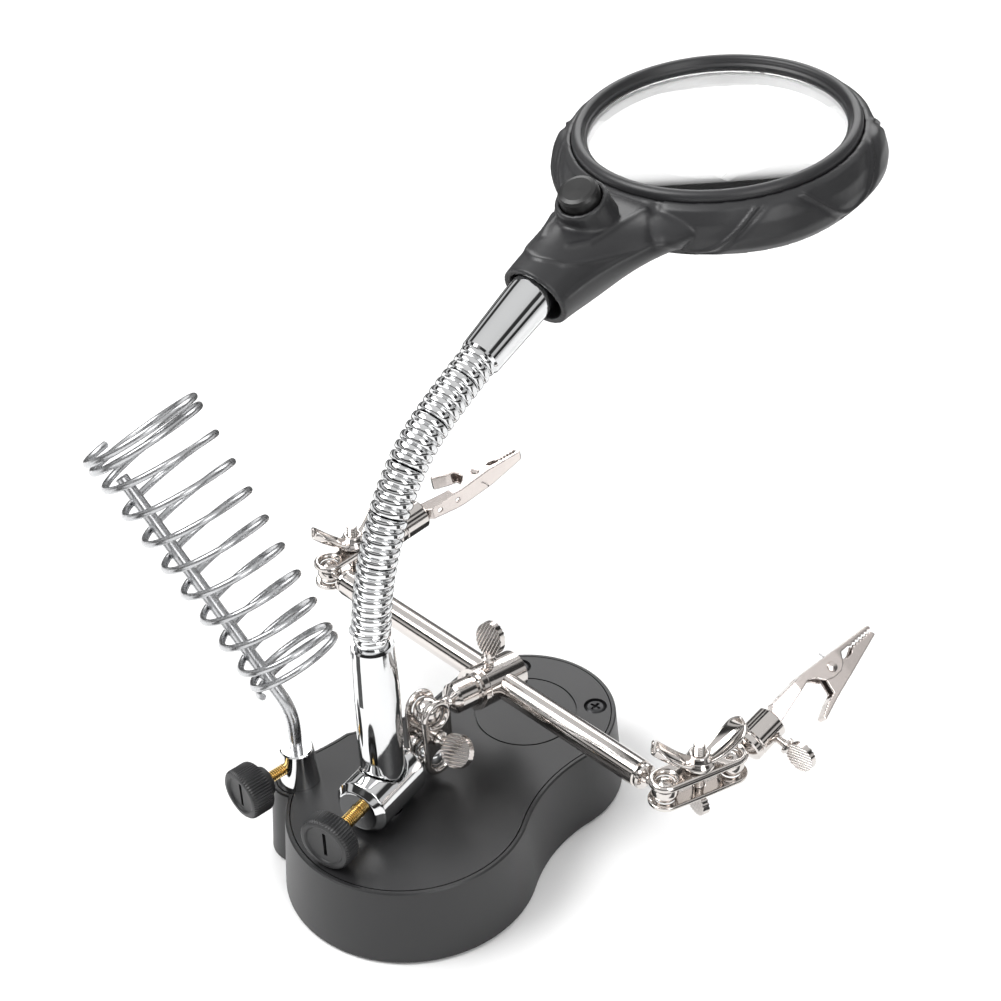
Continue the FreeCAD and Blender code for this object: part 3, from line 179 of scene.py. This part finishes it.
# ------------------------------------------------------------------ materials
def surface(name, colour, metallic, rough, grain, bump, spread=0.15, tint=0.06, coat=0.0,
            height=0.00003):
    """Principled material whose colour, roughness and fine relief vary over the surface."""
    mat = bpy.data.materials.new(name)
    mat.use_nodes = True
    nt = mat.node_tree
    bsdf = nt.nodes["Principled BSDF"]
    bsdf.inputs["Metallic"].default_value = metallic
    bsdf.inputs["Coat Weight"].default_value = coat
    coord = nt.nodes.new("ShaderNodeTexCoord")

    def noise(scale, detail):
        node = nt.nodes.new("ShaderNodeTexNoise")
        node.inputs["Scale"].default_value = scale
        node.inputs["Detail"].default_value = detail
        nt.links.new(coord.outputs["Object"], node.inputs["Vector"])
        return node

    broad = noise(45.0, 4.0)
    fine = noise(grain, 3.0)
    mix = nt.nodes.new("ShaderNodeValToRGB")
    low = [max(0.0, c * (1 - tint)) for c in colour]
    high = [min(1.0, c * (1 + tint)) for c in colour]
    mix.color_ramp.elements[0].position = 0.3
    mix.color_ramp.elements[1].position = 0.7
    mix.color_ramp.elements[0].color = (*low, 1)
    mix.color_ramp.elements[1].color = (*high, 1)
    nt.links.new(broad.outputs[0], mix.inputs[0])
    nt.links.new(mix.outputs[0], bsdf.inputs["Base Color"])
    span = nt.nodes.new("ShaderNodeMapRange")
    span.inputs["To Min"].default_value = rough * (1 - spread)
    span.inputs["To Max"].default_value = rough * (1 + spread)
    nt.links.new(fine.outputs[0], span.inputs["Value"])
    nt.links.new(span.outputs[0], bsdf.inputs["Roughness"])
    relief = nt.nodes.new("ShaderNodeBump")
    relief.inputs["Strength"].default_value = bump
    relief.inputs["Distance"].default_value = height
    nt.links.new(fine.outputs[0], relief.inputs["Height"])
    nt.links.new(relief.outputs[0], bsdf.inputs["Normal"])
    return mat


def clear(name, colour, rough, ior):
    mat = bpy.data.materials.new(name)
    mat.use_nodes = True
    nt = mat.node_tree
    bsdf = nt.nodes["Principled BSDF"]
    bsdf.inputs["Base Color"].default_value = (*colour, 1)
    bsdf.inputs["Transmission Weight"].default_value = 1.0
    bsdf.inputs["IOR"].default_value = ior
    coord = nt.nodes.new("ShaderNodeTexCoord")
    smear = nt.nodes.new("ShaderNodeTexNoise")
    smear.inputs["Scale"].default_value = 60.0
    nt.links.new(coord.outputs["Object"], smear.inputs["Vector"])
    span = nt.nodes.new("ShaderNodeMapRange")
    span.inputs["To Min"].default_value = rough
    span.inputs["To Max"].default_value = rough + 0.02
    nt.links.new(smear.outputs[0], span.inputs["Value"])
    nt.links.new(span.outputs[0], bsdf.inputs["Roughness"])
    return mat


MATERIALS = {
    "base_plastic": surface("base_plastic", (0.014, 0.014, 0.015), 0, 0.40, 2600, 0.45),
    "pad_rubber": surface("pad_rubber", (0.02, 0.02, 0.02), 0, 0.85, 1500, 0.6),
    "cell_sleeve": surface("cell_sleeve", (0.10, 0.11, 0.12), 0, 0.25, 500, 0.1),
    "ballast_iron": surface("ballast_iron", (0.12, 0.12, 0.12), 0.9, 0.65, 900, 0.8),
    "black_steel": surface("black_steel", (0.03, 0.03, 0.032), 0.6, 0.35, 900, 0.2),
    "chrome_plate": surface("chrome_plate", (0.74, 0.745, 0.75), 1, 0.06, 420, 0.10, 0.35, 0.02),
    "nickel_plate": surface("nickel_plate", (0.66, 0.625, 0.60), 1, 0.12, 480, 0.16, 0.35, 0.03),
    "clip_nickel": surface("clip_nickel", (0.70, 0.64, 0.61), 1, 0.22, 650, 0.22, 0.3, 0.03),
    "screw_brass": surface("screw_brass", (0.70, 0.50, 0.20), 1, 0.22, 700, 0.2, 0.3, 0.08),
    "knob_plastic": surface("knob_plastic", (0.013, 0.013, 0.014), 0, 0.42, 2200, 0.35),
    "head_plastic": surface("head_plastic", (0.021, 0.021, 0.0225), 0, 0.40, 2300, 0.6),
    "spring_wire": surface("spring_wire", (0.52, 0.525, 0.535), 1, 0.27, 420, 0.10, 0.3, 0.05),
    "reflector_white": surface("reflector_white", (0.86, 0.86, 0.86), 0, 0.45, 900, 0.1),
    "button_plastic": surface("button_plastic", (0.010, 0.010, 0.010), 0, 0.36, 1800, 0.25),
    "lens_glass": clear("lens_glass", (1.0, 1.0, 1.0), 0.0, 1.30),
    "lamp_lens": clear("lamp_lens", (0.97, 0.97, 0.93), 0.05, 1.45),
}


# Nodes whose finish differs from the plain look of their slot.
FINISH = {"iron_coil": "spring_wire", "iron_rod": "spring_wire"}


# ------------------------------------------------------------------ helpers
def dress(obj, slot_name, finish=None):
    obj.data.materials.clear()
    obj.data.materials.append(MATERIALS[finish or slot_name])


def place_piece(obj, nodes, body=None):
    """Gives a piece its finish, puts it on its body and lets it stand for its nodes."""
    dress(obj, SLOTS[nodes[0]])
    if body is None:
        body = BODY_OF[nodes[0]]
    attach(obj, body)
    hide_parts(*nodes)


def link_mesh(name, mesh):
    obj = bpy.data.objects.new(name, mesh)
    bpy.context.scene.collection.objects.link(obj)
    return obj


def apply_modifiers(obj):
    graph = bpy.context.evaluated_depsgraph_get()
    made = bpy.data.meshes.new_from_object(obj.evaluated_get(graph))
    obj.modifiers.clear()
    obj.data = made


def smooth_shade(mesh, angle=None):
    mesh.polygons.foreach_set("use_smooth", [True] * len(mesh.polygons))
    if angle is not None:
        mesh.set_sharp_from_angle(angle=math.radians(angle))


def axes(z_dir, x_hint):
    """Rotation whose local Z lies along z_dir and whose local X is as near x_hint as it can be."""
    z = Vector(z_dir).normalized()
    x = Vector(x_hint)
    x = (x - z * x.dot(z)).normalized()
    return Matrix((x, z.cross(x), z)).transposed().to_4x4()


def lathe(name, profile, segments, matrix, wobble=None):
    """Revolved mesh; profile holds (radius, height) in millimetres.

    wobble(radius, height, angle) is added to each radius.
    """
    verts = []
    for i in range(segments):
        a = 2 * math.pi * i / segments
        for r, z in profile:
            rr = r + (wobble(r, z, a) if wobble else 0.0)
            verts.append(matrix @ (Vector((rr * math.cos(a), rr * math.sin(a), z)) * MM))
    n = len(profile)
    faces = []
    for i in range(segments):
        j = (i + 1) % segments
        for k in range(n - 1):
            faces.append((i * n + k, j * n + k, j * n + k + 1, i * n + k + 1))
    mesh = bpy.data.meshes.new(name)
    mesh.from_pydata(verts, [], faces)
    bm = bmesh.new()
    bm.from_mesh(mesh)
    bmesh.ops.remove_doubles(bm, verts=bm.verts, dist=1e-7)
    bmesh.ops.recalc_face_normals(bm, faces=bm.faces)
    bm.to_mesh(mesh)
    bm.free()
    return link_mesh(name, mesh)


def softened(name, nodes, voxel, rounds, shape=None):
    """Remeshed copy of one or more CAD nodes with sharp folds and corners rounded."""
    merged = bmesh.new()
    for node in nodes:
        merged.from_mesh(NODES[node].data)
    mesh = bpy.data.meshes.new(name)
    merged.to_mesh(mesh)
    merged.free()
    obj = link_mesh(name, mesh)
    remesh = obj.modifiers.new("remesh", "REMESH")
    remesh.mode = "VOXEL"
    remesh.voxel_size = voxel * MM
    smooth = obj.modifiers.new("smooth", "SMOOTH")
    smooth.factor = 0.5
    smooth.iterations = rounds
    apply_modifiers(obj)
    if shape:
        shape(obj.data)
    smooth_shade(obj.data)
    place_piece(obj, nodes)
    return obj


# ------------------------------------------------------------------ magnifier head
def lens_frame():
    """Centre, axes and normal of the lens, from the lens node's own vertices."""
    co = np.array([v.co for v in NODES["main_lens"].data.vertices])
    centre = (co.max(0) + co.min(0)) / 2
    lie = np.linalg.svd(co - co.mean(0), full_matrices=False)[2]
    normal = Vector(lie[2])
    if normal.z < 0:
        normal = -normal
    turn = axes(normal, (1, 0, 0))
    lens_mid = 2.2 * MM
    return Matrix.Translation(Vector(centre) + normal * lens_mid) @ turn


HEAD = lens_frame()
PETALS = 6
WAVE_MIDDLE = -4.5
WAVE_SWING = 8.6
WAVE_CREST = math.radians(-31.5)     # angle round the ring of the crest nearest the handle
REFLECTOR_R = 46.9                   # the pale wall that rings the space under the lens
REFLECTOR_LOW = -14.6
REFLECTOR_HIGH = -1.2


def bump_at(d, width):
    return np.exp(-(d / width) ** 2)


def step_at(d, width):
    return 1.0 / (1.0 + np.exp(-d / width))


def line_distance(points, line):
    """Distance of each point from a polyline."""
    best = np.full(len(points), 1e9)
    for a, b in zip(line[:-1], line[1:]):
        a = np.array(a)
        ab = np.array(b) - a
        t = np.clip(((points - a) @ ab) / (ab @ ab), 0, 1)
        best = np.minimum(best, np.linalg.norm(points - a - t[:, None] * ab, axis=1))
    return best


SWEEP = [(0, -97.4, 1.8), (2.3, -97.0, 1.6), (7.9, -93.8, 0.0), (11.7, -86.9, -2.0),
         (15.4, -76.7, -3.7),
         (18.3, -69.7, -4.3), (21.0, -64.0, -4.6)]
SEAM = [(12.7, -98.0, -8.0), (12.9, -93.5, -7.4), (15.5, -78.6, -5.9), (20.2, -65.3, -4.5),
        (22.9, -60.4, -6.2),
        (23.6, -56.0, -9.0), (24.2, -51.7, -12.0)]
CREASE = [(5.7, -87.8, 2.6), (9.1, -81.6, 1.9), (10.6, -72.8, 2.1), (10.7, -62.3, 1.5),
          (10.6, -54.0, 0.8)]
VALLEY = [(12.5, -51.3, 0.7), (15.1, -56.5, -0.2), (18.9, -61.7, -1.8), (21.1, -63.4, -4.0)]


def carve_head(mesh):
    """Adds the wavy ridge, the petals under it and the handle's swept lines to a shell."""
    inverse = np.array(HEAD.inverted())
    co = np.array([v.co for v in mesh.vertices])
    local = (co @ inverse[:3, :3].T + inverse[:3, 3]) / MM
    x, y, z = local.T
    r = np.hypot(x, y)
    a = np.arctan2(y, np.abs(x))
    normals = np.array([v.normal for v in mesh.vertices]) @ inverse[:3, :3].T
    out = np.stack([x / r, y / r, np.zeros(len(r))], 1)
    outward = np.einsum("ij,ij->i", normals, out)
    handle = step_at(-y - 52.0, 1.6) * (np.abs(x) < 30)
    skin = step_at(r - 52.8, 0.35) * (outward > -0.35) * (1 - handle) * (r < 60)
    swing = np.cos(PETALS * (a - WAVE_CREST))
    wave = WAVE_MIDDLE + WAVE_SWING * swing
    below = wave - z
    crest = 0.5 + 0.5 * swing
    push = 0.55 * step_at(below, 0.25) + 0.55 * bump_at(below - 0.2, 0.55)
    push -= 0.55 * bump_at(below - 2.4, 1.0) * (z > -15)
    push += 1.1 * crest * step_at(below - 3.4, 0.5)
    push -= 0.45 * step_at(-below, 0.8) * bump_at(below + 4, 4.0)
    shift = out * (push * skin)[:, None]
    mirrored = local.copy()
    mirrored[:, 0] = np.abs(mirrored[:, 0])
    handle_skin = (y < -47) * (r > 50.4)
    sweep = np.minimum(line_distance(mirrored, SWEEP), line_distance(mirrored, SEAM))
    crease = line_distance(mirrored, CREASE)
    valley = line_distance(mirrored, VALLEY)
    lift = 0.55 * bump_at(sweep, 0.75) + 0.5 * bump_at(crease, 1.1) - 0.9 * bump_at(valley, 2.0)
    shift += normals * (lift * handle_skin)[:, None]
    local += shift
    matrix = np.array(HEAD)
    co = (local * MM) @ matrix[:3, :3].T + matrix[:3, 3]
    mesh.vertices.foreach_set("co", co.ravel())
    mesh.update()


def make_head():
    shell = softened("magnifier_shell", ["head_upper_shell", "head_lower_shell"], 0.6, 3,
                     carve_head)
    shell.data.materials.append(MATERIALS["reflector_white"])
    inverse = HEAD.inverted()
    for face in shell.data.polygons:
        at = inverse @ face.center / MM
        if math.hypot(at.x, at.y) < REFLECTOR_R and REFLECTOR_LOW < at.z < REFLECTOR_HIGH:
            face.material_index = 1
    ring = [(44.7, 0.4), (44.75, -0.9), (50.2, -0.9), (50.2, 2.2), (50.05, 3.0), (49.7, 3.7),
            (49.1, 4.25), (48.4, 4.55),
            (47.6, 4.6), (46.9, 4.4), (46.4, 4.0), (46.2, 3.4), (45.9, 3.1), (45.75, 2.6),
            (45.5, 2.2), (45.1, 2.0),
            (44.85, 1.7), (44.7, 1.2), (44.7, 0.4)]
    bezel = lathe("magnifier_bezel", ring, 288, HEAD)
    bevel = bezel.modifiers.new("round", "SUBSURF")
    bevel.levels = 1
    bevel.render_levels = 1
    apply_modifiers(bezel)
    smooth_shade(bezel.data, 50)
    place_piece(bezel, ["lens_bezel"])


# ------------------------------------------------------------------ gooseneck
NECK_PITCH = 3.3        # length of one band along the neck
NECK_R = 6.5            # over the crown of a band
NECK_WALL = 0.7
NECK_SIDES = 72
NECK_ROWS = 14          # rows of faces along one band


def neck_centreline():
    """Smooth line through the neck's joints, as points with even spacing."""
    names = ["neck_bend", "neck_sway", "neck_bend_2", "neck_sway_2", "neck_bend_3", "neck_sway_3",
             "head_tilt"]
    joints = [Vector(JOINTS[n]["pos_m"]) for n in names]
    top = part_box("gooseneck_post")[1].z
    first = Vector((joints[0].x, joints[0].y, top - 0.4 * MM))
    tail = joints[-1] + (joints[-1] - joints[-2]).normalized() * 1.2 * MM
    knots = [first] + joints + [tail]
    before = first - Vector((0, 0, 6 * MM))
    after = tail + (tail - joints[-2]).normalized() * 6 * MM
    full = [before] + knots + [after]
    dense = []
    for i in range(1, len(full) - 2):
        p0, p1, p2, p3 = full[i - 1:i + 3]
        for k in range(40):
            t = k / 40
            q = 0.5 * ((2 * p1) + (p2 - p0) * t + (2 * p0 - 5 * p1 + 4 * p2 - p3) * t * t
                       + (3 * p1 - p0 - 3 * p2 + p3) * t ** 3)
            dense.append(q)
    dense.append(full[-2])
    pts = np.array([tuple(p) for p in dense])
    kernel = np.ones(21) / 21
    pad = np.concatenate([np.repeat(pts[:1], 10, 0), pts, np.repeat(pts[-1:], 10, 0)])
    soft = np.stack([np.convolve(pad[:, c], kernel, "valid") for c in range(3)], 1)
    soft[0], soft[-1] = pts[0], pts[-1]
    run = np.concatenate([[0], np.cumsum(np.linalg.norm(np.diff(soft, axis=0), axis=1))])
    return soft, run, joints


def neck_radius(s):
    """Corrugated profile: crowned bands with a narrow groove between them."""
    x = (s / NECK_PITCH) % 1.0 - 0.5
    groove = math.exp(-((0.5 - abs(x)) / 0.085) ** 2)
    return NECK_R - 0.75 * groove - 0.75 * (abs(x) / 0.5) ** 2.6


def make_neck():
    line, run, joints = neck_centreline()
    total = run[-1] / MM
    bands = round(total / NECK_PITCH)
    scale = bands * NECK_PITCH / total

    def point(s):
        s = min(max(s * MM, 0), run[-1])
        return Vector([float(np.interp(s, run, line[:, c])) for c in range(3)])

    def direction(s):
        return (point(s + 0.8) - point(s - 0.8)).normalized()

    def nearest_band(target):
        best = min(range(bands + 1), key=lambda b: (point(b * NECK_PITCH / scale) - target).length)
        return best * NECK_PITCH / scale

    cuts = [0.0]
    for a, b in zip(joints[:-1], joints[1:]):
        cuts.append(nearest_band((a + b) / 2))
    cuts.append(total)
    around = NECK_SIDES
    per_band = NECK_ROWS
    for i, (s0, s1) in enumerate(zip(cuts[:-1], cuts[1:])):
        count = max(8, round((s1 - s0) * scale / NECK_PITCH * per_band))
        verts = []
        faces = []
        for k in range(count + 1):
            s = s0 + (s1 - s0) * k / count
            d = direction(s)
            side = Vector((1, 0, 0))
            up = d.cross(side).normalized()
            r = neck_radius(s * scale) * MM
            for m in range(around):
                a = 2 * math.pi * m / around
                verts.append(point(s) + (side * math.cos(a) + up * math.sin(a)) * r)
        for k in range(count):
            for m in range(around):
                n = (m + 1) % around
                faces.append((k * around + m, k * around + n, (k + 1) * around + n,
                              (k + 1) * around + m))
        mesh = bpy.data.meshes.new("gooseneck_bands_%d" % i)
        mesh.from_pydata(verts, [], faces)
        bm = bmesh.new()
        bm.from_mesh(mesh)
        bmesh.ops.recalc_face_normals(bm, faces=bm.faces)
        bm.to_mesh(mesh)
        bm.free()
        smooth_shade(mesh)
        obj = link_mesh("gooseneck_bands_%d" % i, mesh)
        thick = obj.modifiers.new("wall", "SOLIDIFY")
        thick.thickness = NECK_WALL * MM
        thick.offset = -1
        apply_modifiers(obj)
        dress(obj, "chrome_plate")
        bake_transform(obj)
        if i > 0:
            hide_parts("neck_link_%d" % i)


# ------------------------------------------------------------------ knobs
KNOB_TEETH = 56
TOOTH_DEPTH = 0.34
SLOT_SIZE = Vector((9.6, 1.3, 3.0))     # screwdriver slot: length, width, depth


def make_knob(node, joint, out, radius, thick):
    """Knob with a fine-toothed rim, a dished face and a screwdriver slot."""
    j = JOINTS[joint]
    axis = Vector(j["axis"])
    base = Matrix.Translation(Vector(j["pos_m"]) + axis * out * MM) @ axes(axis, (0, 0, 1))
    t = thick
    profile = [(0, -3.2), (4.6, -3.2), (5.1, -2.9), (5.5, -2.2), (6.0, -0.9), (6.6, -0.15),
               (radius - 1.4, 0.0),
               (radius - 0.7, 0.2), (radius - 0.2, 0.7), (radius, 1.3), (radius, t * 0.5),
               (radius, t - 1.3),
               (radius - 0.2, t - 0.7), (radius - 0.8, t - 0.15), (radius - 1.4, t),
               (radius - 2.2, t),
               (radius - 2.6, t - 0.25), (radius - 2.9, t - 0.7), (radius - 3.3, t - 0.8),
               (0, t - 0.8)]
    teeth = KNOB_TEETH

    def toothed(r, z, a):
        if r < radius - 0.9 or z < 0.3 or z > t - 0.3:
            return 0.0
        return -TOOTH_DEPTH * (0.5 - 0.5 * math.cos(teeth * a)) ** 0.7

    knob = lathe(node + "_toothed", profile, teeth * 6, base, toothed)
    slot = bpy.data.meshes.new("slot_cut")
    bm = bmesh.new()
    bmesh.ops.create_cube(bm, size=1.0)
    bmesh.ops.scale(bm, vec=SLOT_SIZE * MM, verts=bm.verts)
    bmesh.ops.transform(bm, matrix=base @ Matrix.Translation((0, 0, (t - 0.6) * MM)),
                        verts=bm.verts)
    bm.to_mesh(slot)
    bm.free()
    cutter = link_mesh("slot_cut", slot)
    cut = knob.modifiers.new("slot", "BOOLEAN")
    cut.object = cutter
    cut.operation = "DIFFERENCE"
    cut.solver = "EXACT"
    apply_modifiers(knob)
    bpy.data.objects.remove(cutter)
    smooth_shade(knob.data, 32)
    place_piece(knob, [node])


# ------------------------------------------------------------------ wing nuts and clips
NUT_TURN = {"right": 62.0, "left": 77.0}     # bearing of the leaves, in degrees
NUT_BASE = 5.6          # from the pivot up to the nut's foot
LEAF_WALL = 1.1
LEAF_ROWS = 26
LEAF_COLUMNS = 18


def make_wing_nut(side):
    """Pressed wing nut: a flanged hub with a plain bore and two scooped leaves."""
    j = JOINTS[side + "_nut_turn"]
    turn = math.radians(NUT_TURN[side])
    base = Matrix.Translation(Vector(j["pos_m"]) + Vector((0, 0, NUT_BASE * MM)))
    base = base @ axes((0, 0, 1), (math.cos(turn), math.sin(turn), 0))
    bm = bmesh.new()
    rows = LEAF_ROWS
    cols = LEAF_COLUMNS
    for sign in (1, -1):
        grid = []
        for i in range(rows + 1):
            u = i / rows
            reach = 3.4 + 13.6 * u
            rise = 1.0 + 9.6 * u ** 1.35
            half = 3.2 + 1.9 * math.sin(math.pi * min(u, 0.75) / 1.5)
            if u > 0.72:
                half *= math.sqrt(max(0.03, 1 - ((u - 0.72) / 0.285) ** 2))
            row = []
            for k in range(cols + 1):
                v = 2 * k / cols - 1
                edge = (1.2 + 1.8 * u) * v * v
                p = Vector((sign * (reach - edge * 0.45), v * half, rise + edge)) * MM
                row.append(bm.verts.new(base @ p))
            grid.append(row)
        for i in range(rows):
            for k in range(cols):
                bm.faces.new((grid[i][k], grid[i + 1][k], grid[i + 1][k + 1], grid[i][k + 1]))
    mesh = bpy.data.meshes.new(side + "_nut_leaves")
    bmesh.ops.recalc_face_normals(bm, faces=bm.faces)
    bm.to_mesh(mesh)
    bm.free()
    leaves = link_mesh(side + "_nut_leaves", mesh)
    wall = leaves.modifiers.new("wall", "SOLIDIFY")
    wall.thickness = LEAF_WALL * MM
    wall.offset = 0
    rounding = leaves.modifiers.new("round", "SUBSURF")
    rounding.levels = 1
    rounding.render_levels = 1
    apply_modifiers(leaves)
    smooth_shade(leaves.data)
    place_piece(leaves, [side + "_wing_nut"])
    hub = [(2.1, 0.2), (2.4, 0.0), (5.0, 0.0), (5.5, 0.3), (5.6, 0.9), (5.2, 1.6), (4.5, 2.2),
           (4.0, 3.0), (3.7, 4.2),
           (3.4, 4.7), (2.9, 4.9), (2.4, 4.8), (2.1, 4.5), (2.1, 0.2)]
    collar = lathe(side + "_nut_hub", hub, 96, base)
    smooth_shade(collar.data, 40)
    dress(collar, "nickel_plate")
    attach(collar, BODY_OF[side + "_wing_nut"])


SPRING_WIRE_R = 0.32


def make_clip_spring(side):
    """Torsion spring wound round the clip's rivet, with a leg to each jaw."""
    j = JOINTS[side + "_jaw_open"]
    centre = Vector(j["pos_m"])
    forward = Vector(JOINTS[side + "_clip_turn"]["axis"])
    base = Matrix.Translation(centre) @ axes(j["axis"], forward)
    points = []
    turns = 3.5
    radius = 2.0
    half = 1.25
    steps = 90
    for i in range(steps + 1):
        t = i / steps
        a = 2 * math.pi * turns * t
        points.append(Vector((radius * math.cos(a), radius * math.sin(a), half * (2 * t - 1))))
    first = points[0] + Vector((-1.0, -6.0, 0.0))
    last = points[-1] + Vector((1.0, 6.0, 0.0))
    points = [first] + points + [last]
    curve = bpy.data.curves.new(side + "_clip_spring", "CURVE")
    curve.dimensions = "3D"
    curve.bevel_depth = SPRING_WIRE_R * MM
    curve.bevel_resolution = 3
    spline = curve.splines.new("POLY")
    spline.points.add(len(points) - 1)
    for p, target in zip(points, spline.points):
        target.co = (*(base @ (p * MM)), 1)
    wire = bpy.data.objects.new(side + "_clip_spring", curve)
    bpy.context.scene.collection.objects.link(wire)
    dress(wire, "chrome_plate")
    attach(wire, BODY_OF[side + "_clip_body"])


# ------------------------------------------------------------------ build
make_camera()
make_studio()
for node_name, node_object in NODES.items():
    dress(node_object, SLOTS[node_name], FINISH.get(node_name))
make_head()
make_neck()
make_knob("main_knob", "block_knob_turn", 27.5, 10.0, 7.0)
make_knob("iron_knob", "stand_knob_turn", 16.6, 9.2, 8.6)
for side_name in ("right", "left"):
    make_wing_nut(side_name)
    make_clip_spring(side_name)
    for part_name in ("clip_body", "clip_lever"):
        node_name = side_name + "_" + part_name
        softened(node_name + "_pressed", [node_name], 0.24, 2)
    for part_name in ("plate_upper", "plate_lower"):
        node_name = side_name + "_" + part_name
        softened(node_name + "_pressed", [node_name], 0.26, 3)
for node_name in ("bracket_plate_outer", "bracket_plate_inner"):
    softened(node_name + "_pressed", [node_name], 0.28, 3)
softened("clamp_block_polished", ["clamp_block"], 0.33, 2)
